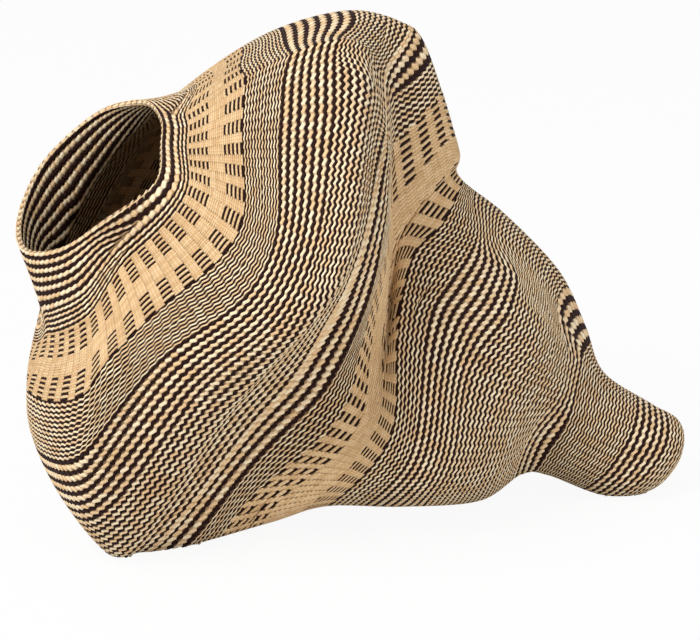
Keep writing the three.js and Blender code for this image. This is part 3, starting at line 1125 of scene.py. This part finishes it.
def straw_material(finish: StrawFinish, group: StrawGroup) -> bpy.types.Material:
    """The material of one kind of straw.

    Args:
        finish: The straw.
        group: The shared node group.

    Returns:
        The material.
    """
    material = bpy.data.materials.new(finish.slot)
    material.use_nodes = True
    tree = material.node_tree
    # The strength of the painted groove-line shade.
    inputs: Inputs = {"Grooves": finish.grooves}
    for name, output in (("Dye", "Fac"), ("Tone", "Fac"), ("Strand", "Vector")):
        attribute = add_node(tree, "ShaderNodeAttribute", {}, attribute_name=name.lower())
        inputs[name] = attribute.outputs[output]
    for name in STRAW_COLOURS:
        inputs[name] = (*getattr(finish, name.lower()), 1.0)
    strand = add_node(tree, "ShaderNodeGroup", inputs, node_tree=group.tree).outputs
    fibres = {"Strength": finish.bump, "Distance": finish.bump_depth, "Height": strand["Fibre"]}
    set_inputs(tree, tree.nodes["Principled BSDF"], {
        "Base Color": strand["Colour"],
        "Roughness": strand["Dryness"],
        "Normal": add_node(tree, "ShaderNodeBump", fibres).outputs["Normal"],
        "Specular IOR Level": finish.gloss,
    })
    return material


# The basket's pieces


@dataclass(frozen=True)
class WeaveBand:
    """One band of the wall, woven in one or more runs."""

    node: str
    slot: str
    runs: tuple[WeaveRun, ...]
    slant: Slant = Slant.STEEP
    lined: bool = False


NECK_WEDGE = ShortRows((
    (0.262, 0.985), (0.275, 0.98), (0.288, 0.975), (0.30, 0.97), (0.50, 0.965), (0.51, 0.96), (0.52, 0.955),
    (0.53, 0.95), (0.54, 0.945), (0.55, 0.94), (0.56, 0.935)))
NECK_FINE_WEDGE = ShortRows(((0.29, 0.97), (0.31, 0.96)))
CROWN_WEDGE = ShortRows(((0.93, 0.05), (0.935, 0.04), (0.94, 0.03)))
LOBE_WEDGE = ShortRows(((0.87, 0.16), (0.89, 0.145), (0.91, 0.13)))
FOLD_WEDGE = ShortRows(((0.36, 0.19), (0.37, 0.18), (0.38, 0.17)))
FIVE_BARS = "XNXNXNXNX"
SIX_BARS = "XNXNXNXNXNX"
SEVEN_BARS = "XNXNxnxnxnXNX"
FOLD_STITCH = 8.6 * MM
FOLD_SPREAD = 0.42
BANDS = (
    WeaveBand("neck_striped_band", "bold_weave", (
        WeaveRun(RIM_END, NECK_BOLD_END, "DND" + "nd" * 11 + "N", 8.6 * MM, short=NECK_WEDGE),
        WeaveRun(NECK_BOLD_END, NECK_END, "DN" + "dndn" + "DND", 8.6 * MM, short=NECK_FINE_WEDGE),
    ), Slant.FALLING, lined=True),
    WeaveBand("collar_natural_band", "natural_weave", (
        WeaveRun(NECK_END, COLLAR_END, "N" + FIVE_BARS + "N" * 8 + FIVE_BARS, 10.3 * MM, plain=True),
    ), Slant.BOWED, lined=True),
    WeaveBand("shoulder_fine_band", "fine_weave", (
        WeaveRun(COLLAR_END, SHOULDER_FINE_END, "DN" * 12, 9.8 * MM, courses=2),
    ), lined=True),
    WeaveBand("shoulder_bold_band", "bold_weave", (
        WeaveRun(SHOULDER_FINE_END, SHOULDER_BOLD_END, "DN" * 6 + "D", 8.5 * MM),
    ), Slant.RISING),
    WeaveBand("body_fine_band", "fine_weave", (
        WeaveRun(SHOULDER_BOLD_END, BODY_FINE_END, "ND" * 6 + "nd" * 3 + "ND" * 4, 8.7 * MM,
                 short=CROWN_WEDGE, facing=True),
    )),
    WeaveBand("body_bold_band", "bold_weave", (
        WeaveRun(BODY_FINE_END, BODY_FIRST_BOLD, "NND", 8.6 * MM),
        WeaveRun(BODY_FIRST_BOLD, BODY_BOLD_END, "NDND", 8.6 * MM),
    ), Slant.RISING),
    WeaveBand("fold_fine_band", "fine_weave", (
        WeaveRun(BODY_BOLD_END, FOLD_FINE_END, "ND" * 6 + "N", 8.4 * MM),
    )),
    WeaveBand("fold_natural_band", "natural_weave", (
        WeaveRun(FOLD_FINE_END, FOLD_DASH_END, SEVEN_BARS, FOLD_STITCH, short=FOLD_WEDGE, plain=True,
                 spread=FOLD_SPREAD),
        WeaveRun(FOLD_DASH_END, FOLD_PLAIN_END, "N" * 9, FOLD_STITCH, plain=True, spread=FOLD_SPREAD),
        WeaveRun(FOLD_PLAIN_END, FOLD_NATURAL_END, SIX_BARS, FOLD_STITCH, plain=True, spread=FOLD_SPREAD),
    ), Slant.LEANING),
    WeaveBand("lobe_fine_band", "fine_weave", (
        WeaveRun(FOLD_NATURAL_END, LOBE_FINE_END, "DN" * 3 + "dn" * 3 + "DN" * 3, 8.1 * MM,
                 short=LOBE_WEDGE),
    )),
    WeaveBand("lobe_bold_band", "bold_weave", (
        WeaveRun(LOBE_FINE_END, LOBE_BOLD_END, "DN" * 7 + "D", 7.6 * MM),
    ), Slant.RISING),
    WeaveBand("hip_fine_band", "fine_weave", (
        WeaveRun(LOBE_BOLD_END, HIP_END, "ND" * 20, 8.0 * MM, courses=3),
    )),
    WeaveBand("waist_bold_band", "bold_weave", (
        WeaveRun(HIP_END, WAIST_END, "ND" * 4, 8.0 * MM),
    ), Slant.RISING),
    WeaveBand("tail_fine_band", "fine_weave", (
        WeaveRun(WAIST_END, TAIL_FINE_END, "ND" * 18 + "N", 8.3 * MM),
    )),
    WeaveBand("tail_bold_band", "bold_weave", (
        WeaveRun(TAIL_FINE_END, TAIL_BOLD_END, "DN" * 5 + "D", 8.3 * MM),
    ), Slant.RISING),
    WeaveBand("tail_end_band", "fine_weave", (
        WeaveRun(TAIL_BOLD_END, TAIL_END, "ND" * 9, 8.0 * MM, courses=3),
    )),
)


@dataclass
class BasketWall:
    """The twined wall, made band by band around a thin core."""

    form: BasketForm
    twiner: Twiner
    shapes: dict[Slant, bpy.types.Object]
    tree: NodeTree
    straws: dict[str, bpy.types.Material]
    core_top: float = 1.35 * MM
    core_bottom: float = 3.4 * MM
    core_columns: int = 120
    core_tone: float = 0.9
    edge_dye: float = 0.5

    def build(self, band: WeaveBand) -> bpy.types.Object:
        """One band with its stitches, outside and where it is seen inside.

        Args:
            band: The band.

        Returns:
            The finished piece.
        """
        lots = []
        for run in band.runs:
            lots.append(self.twiner.run(run))
            if band.lined:
                lots.append(self.twiner.run(run, True))
        return self.weave(band, Stitches.joined(lots), self.core(band))

    def weave(self, band: WeaveBand, stitches: Stitches, core: bpy.types.Object) -> bpy.types.Object:
        """Sets the stitches on a core and hands the piece over.

        Args:
            band: The band that the piece stands for.
            stitches: The stitches.
            core: The core's object, which is used up.

        Returns:
            The finished piece.
        """
        piece = new_object(band.node + "_twined", stitches.point, [])
        for name in ("way", "out", "size", "dye", "tone"):
            write_attribute(piece.data, name, getattr(stitches, name))
        values = {"Stitch": self.shapes[band.slant], "Core": core, "Straw": self.straws[band.slot]}
        self.tree.run_on(piece, values)
        remove_object(core)
        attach(piece, "root")
        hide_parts(band.node)
        triangles = sum(len(face.vertices) - 2 for face in piece.data.polygons)
        LOG.info("%s: %d stitches, %d triangles", band.node, len(stitches.dye), triangles)
        return piece

    def core(self, band: WeaveBand) -> bpy.types.Object:
        """The closed ring under a band's stitches, with a line of points on every row.

        Args:
            band: The band.

        Returns:
            The ring's object.
        """
        columns = self.core_columns
        turn = np.arange(columns) / columns
        edges = [self.twiner.edges(run, turn) for run in band.runs]
        rows = [(lines[:-1] + lines[1:]) / 2 for lines in edges]
        places = np.concatenate([edges[0][:1], *rows, edges[-1][-1:]])
        dark = [float(dye is Dye.DARK) for run in band.runs for dye in run.dyes()]
        dyes = np.array([self.edge_dye, *dark, self.edge_dye])
        turns = np.broadcast_to(turn, places.shape)
        outer = self.form.wall(places, turns, self.core_top)
        inner = self.form.wall(places, turns, self.core_bottom)[::-1]
        points = np.concatenate([outer, inner]).reshape(-1, 3)
        shades = np.repeat(np.concatenate([dyes, dyes[::-1]]), columns)
        return self.core_object(points, loop_faces(2 * len(dyes), columns, True), shades)

    def core_object(self, points: Array, faces: Faces, dyes: Array) -> bpy.types.Object:
        """A core of straw for stitches to lie on.

        Args:
            points: Its points.
            faces: Its faces.
            dyes: How dark each point is.

        Returns:
            The core's object.
        """
        made = new_object("core", points, faces)
        write_attribute(made.data, "dye", dyes)
        write_attribute(made.data, "tone", np.full(len(dyes), self.core_tone))
        return made


@dataclass
class WarpStakes:
    """The grass stakes that the rows are twined round, lying inside the wall."""

    form: BasketForm
    tree: NodeTree
    straw: bpy.types.Material
    long_count: int = 40
    short_count: int = 80
    first_place: float = 0.15
    short_last: float = 10.2
    long_last: float = 14.4
    steps_per_place: int = 9
    lined_depth: float = 2.7 * MM
    bare_depth: float = 4.15 * MM
    lined_last: float = 3.8
    bare_first: float = 4.2
    radius: float = 0.8 * MM
    sides: int = 5

    def build(self) -> bpy.types.Object:
        """All stakes as one piece.

        Returns:
            The finished piece.
        """
        piece = bpy.data.objects.new("warp_stakes_grass", self.routes())
        bpy.context.scene.collection.objects.link(piece)
        values = {"Radius": self.radius, "Sides": self.sides, "Straw": self.straw}
        self.tree.run_on(piece, values)
        write_attribute(piece.data, "dye", np.zeros(len(piece.data.vertices)))
        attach(piece, "root")
        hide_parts(*sorted(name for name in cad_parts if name.startswith("warp_stake_")))
        LOG.info("warp stakes: %d stems", self.long_count + self.short_count)
        return piece

    def routes(self) -> bpy.types.Mesh:
        """The stakes' routes as edges.

        Returns:
            A mesh of polylines.
        """
        points = []
        edges = []
        total = self.long_count + self.short_count
        every = total // self.long_count
        for number in range(total):
            last = self.long_last if number % every == 0 else self.short_last
            steps = round((last - self.first_place) * self.steps_per_place)
            place = np.linspace(self.first_place, last, steps + 1)
            turn = np.full(steps + 1, number / total)
            start = len(points)
            depth = np.interp(place, (self.lined_last, self.bare_first), (self.lined_depth, self.bare_depth))
            points.extend(self.form.wall(place, turn, depth).tolist())
            edges.extend((start + step, start + step + 1) for step in range(steps))
        mesh = bpy.data.meshes.new("warp_stakes_grass")
        mesh.from_pydata(points, edges, [])
        return mesh


@dataclass
class RimBorder:
    """The twisted edge that locks the stakes at the mouth."""

    wall: BasketWall
    node: str = "rim_border"
    slot: str = "border_grass"
    stitch: float = 8.0 * MM
    edge_width: float = 4.0 * MM
    edge_thickness: float = 1.8 * MM
    edge_sink: float = 0.3

    def build(self) -> bpy.types.Object:
        """The border: rows outside and inside, and a chain over the edge.

        Returns:
            The finished piece.
        """
        run = WeaveRun(RIM_EDGE, RIM_END, "N", self.stitch)
        band = WeaveBand(self.node, self.slot, (run,), Slant.FALLING)
        twiner = self.wall.twiner
        lots = [twiner.run(run), twiner.run(run, True), self.edge(run)]
        return self.wall.weave(band, Stitches.joined(lots), self.wall.core(band))

    def edge(self, run: WeaveRun) -> Stitches:
        """The chain of stitches that lies on the wall's edge.

        Args:
            run: The border's outer rows.

        Returns:
            The stitches.
        """
        form = self.wall.form
        half = self.wall.twiner.wall / 2
        between, middles = self.wall.twiner.columns(run, 0.0)
        count = len(middles)
        spots = form.spots(np.zeros(count), middles)
        corners = form.wall(np.zeros(count + 1), between, half)
        chord = np.diff(corners, axis=0)
        out = -unit(spots.along)
        point = form.wall(np.zeros(count), middles, half) - out * self.edge_thickness * self.edge_sink
        length = np.linalg.norm(chord, axis=1)
        size = np.stack([length, np.full(count, self.edge_width), np.full(count, self.edge_thickness)], -1)
        tone = np.random.default_rng(self.wall.twiner.seed).random(count)
        return Stitches(point, unit(chord), out, size, np.zeros(count), tone)


@dataclass
class BaseStart:
    """The closed end of the tail, where the weaving begins."""

    wall: BasketWall
    node: str = "base_start"
    slot: str = "border_grass"
    letters: str = "NDNDNDN"
    stitch: float = 6.0 * MM
    courses: int = 4
    disc_rows: tuple[float, ...] = (0.86, 0.58, 0.30)
    row_height: float = 3.6 * MM
    cap_steps: int = 3
    ring_points: int = 64
    inner_step: float = 0.5
    least_stitches: int = 4
    core_columns: int = 48
    core_dye: float = 0.4

    def build(self) -> bpy.types.Object:
        """The base: its last rows, and rings of stitches over the closed end.

        Returns:
            The finished piece.
        """
        run = WeaveRun(TAIL_END, BASE_END, self.letters, self.stitch, self.courses)
        band = WeaveBand(self.node, self.slot, (run,))
        lots = [self.wall.twiner.run(run)]
        lots.extend(self.disc_row(share) for share in self.disc_rows)
        return self.wall.weave(band, Stitches.joined(lots), self.plug(run))

    def disc_row(self, share: float) -> Stitches:
        """One ring of stitches on the closed end.

        Args:
            share: Its radius as a share of the end's.

        Returns:
            The stitches.
        """
        end = self.ring(float(LAST_PLACE))
        middle = end.mean(axis=0)
        reach = 2 * math.pi * np.linalg.norm(end - middle, axis=1).mean() * share
        out = unit(middle - self.ring(LAST_PLACE - self.inner_step).mean(axis=0))
        count = max(self.least_stitches, round(reach / self.stitch))
        turn = np.arange(count) / count
        ray = self.wall.form.spots(np.full(count, float(LAST_PLACE)), turn).point - middle
        size = np.tile((reach / count, self.row_height, self.wall.twiner.most_thickness), (count, 1))
        tone = np.random.default_rng(count).random(count)
        way = unit(np.cross(out, ray)) * -1
        return Stitches(middle + ray * share, way, np.tile(out, (count, 1)), size, np.zeros(count), tone)

    def ring(self, place: float) -> Array:
        """Points all round the outer face at one place."""
        turn = np.arange(self.ring_points) / self.ring_points
        return self.wall.form.spots(np.full(self.ring_points, place), turn).point

    def plug(self, run: WeaveRun) -> bpy.types.Object:
        """The closed core under the base's stitches.

        Args:
            run: The base's rows.

        Returns:
            The core's object.
        """
        columns = self.core_columns
        turn = np.arange(columns) / columns
        lines = self.wall.twiner.edges(run, turn)
        loops = [self.wall.form.wall(line, turn, self.wall.core_top) for line in lines]
        end = loops[-1]
        middle = end.mean(axis=0)
        for step in range(1, self.cap_steps):
            loops.append(middle + (end - middle) * (1 - step / self.cap_steps))
        points = np.concatenate(loops)
        faces = loop_faces(len(loops), columns, False)
        faces.append(tuple(range(len(points) - columns, len(points))))
        faces.append(tuple(range(columns))[::-1])
        return self.wall.core_object(points, faces, np.full(len(points), self.core_dye))


# The studio


@dataclass(frozen=True)
class Lamp:
    """A soft square lamp, with its width in metres and its power in watts."""

    name: str
    place: Triple
    size: float
    power: float


WHITE = (1.0, 1.0, 1.0, 1.0)


@dataclass
class Studio:
    """Floor, light and camera, set as in the photograph."""

    target: Triple = (-0.0092, -0.0409, 0.2114)
    distance: float = 3.0
    elevation: float = 20.0
    field_at_target: float = 0.630
    sensor: float = 36.0
    floor_size: float = 24.0
    floor_grey: float = 0.82
    floor_roughness: float = 0.9
    floor_glow: float = 0.93
    sky: float = 0.49
    lamps: tuple[Lamp, ...] = (
        Lamp("key", (-1.8, -1.6, 2.8), 1.6, 97.0),
        Lamp("fill", (2.2, -2.0, 1.4), 2.6, 27.0),
    )

    def build(self) -> None:
        """Sets up the whole studio."""
        self.camera()
        self.floor()
        self.world()
        for lamp in self.lamps:
            self.light(lamp)
        bpy.context.scene.view_settings.view_transform = "Standard"

    def camera(self) -> None:
        """The camera in front of the basket, a little above it."""
        data = bpy.data.cameras.new("camera")
        data.sensor_width = self.sensor
        data.lens = self.sensor * self.distance / self.field_at_target
        camera = bpy.data.objects.new("camera", data)
        rise = math.radians(self.elevation)
        away = Vector((0.0, -math.cos(rise), math.sin(rise)))
        camera.location = Vector(self.target) + away * self.distance
        camera.rotation_euler = away.to_track_quat("Z", "Y").to_euler()
        bpy.context.scene.collection.objects.link(camera)
        bpy.context.scene.camera = camera

    def floor(self) -> None:
        """The pale floor, which keeps the basket's soft shadow."""
        half = self.floor_size / 2
        corners = ((-half, -half, 0.0), (half, -half, 0.0), (half, half, 0.0), (-half, half, 0.0))
        floor = new_object("floor", np.array(corners), [(0, 1, 2, 3)])
        material = bpy.data.materials.new("pale_floor")
        material.use_nodes = True
        tree = material.node_tree
        shader = tree.nodes["Principled BSDF"]
        grey = (self.floor_grey, self.floor_grey, self.floor_grey, 1.0)
        set_inputs(tree, shader, {"Base Color": grey, "Roughness": self.floor_roughness})
        glow = add_node(tree, "ShaderNodeEmission", {"Color": WHITE, "Strength": 1.0})
        rays = add_node(tree, "ShaderNodeLightPath", {}).outputs
        shares = {0: rays["Is Camera Ray"], 1: self.floor_glow}
        share = add_node(tree, "ShaderNodeMath", shares, operation="MULTIPLY").outputs["Value"]
        self.surface(tree, "Material Output", share, shader.outputs["BSDF"], glow.outputs["Emission"])
        floor.data.materials.append(material)

    def world(self) -> None:
        """Even light from all round, with a white background for the camera."""
        world = bpy.data.worlds.new("studio")
        bpy.context.scene.world = world
        world.use_nodes = True
        tree = world.node_tree
        light = tree.nodes["Background"]
        set_inputs(tree, light, {"Color": WHITE, "Strength": self.sky})
        white = add_node(tree, "ShaderNodeBackground", {"Color": WHITE, "Strength": 1.0})
        rays = add_node(tree, "ShaderNodeLightPath", {}).outputs
        share = rays["Is Camera Ray"]
        for name in ("Is Glossy Ray", "Is Transmission Ray"):
            either = add_node(tree, "ShaderNodeMath", {0: share, 1: rays[name]}, operation="MAXIMUM")
            share = either.outputs["Value"]
        self.surface(tree, "World Output", share, light.outputs["Background"], white.outputs["Background"])

    @staticmethod
    def surface(tree: bpy.types.NodeTree, output: str, share: Socket, first: Socket, second: Socket) -> None:
        """Puts out two shaders mixed, with a share of the second."""
        mix = add_node(tree, "ShaderNodeMixShader", {"Fac": share, 1: first, 2: second})
        set_inputs(tree, tree.nodes[output], {"Surface": mix.outputs["Shader"]})

    def light(self, lamp: Lamp) -> None:
        """Sets up a lamp that faces the basket.

        Args:
            lamp: The lamp.
        """
        data = bpy.data.lights.new(lamp.name, "AREA")
        data.size = lamp.size
        data.energy = lamp.power
        made = bpy.data.objects.new(lamp.name, data)
        made.location = lamp.place
        made.rotation_euler = (Vector(lamp.place) - Vector(self.target)).to_track_quat("Z", "Y").to_euler()
        bpy.context.scene.collection.objects.link(made)


def main() -> None:
    """Builds the studio and the basket, piece by piece."""
    logging.basicConfig(level=logging.INFO, format="%(message)s")
    Studio().build()
    group = StrawGroup()
    straws = {finish.slot: straw_material(finish, group) for finish in FINISHES}
    form = BasketForm(STATIONS)
    shapes = {slant: StitchShape(slant).build() for slant in Slant}
    wall = BasketWall(form, Twiner(form), shapes, twining_tree(), straws)
    RimBorder(wall).build()
    for band in BANDS:
        wall.build(band)
    BaseStart(wall).build()
    WarpStakes(form, stake_tree(), straws["stake_grass"]).build()
    for shape in shapes.values():
        remove_object(shape)


if __name__ == "__main__":
    main()
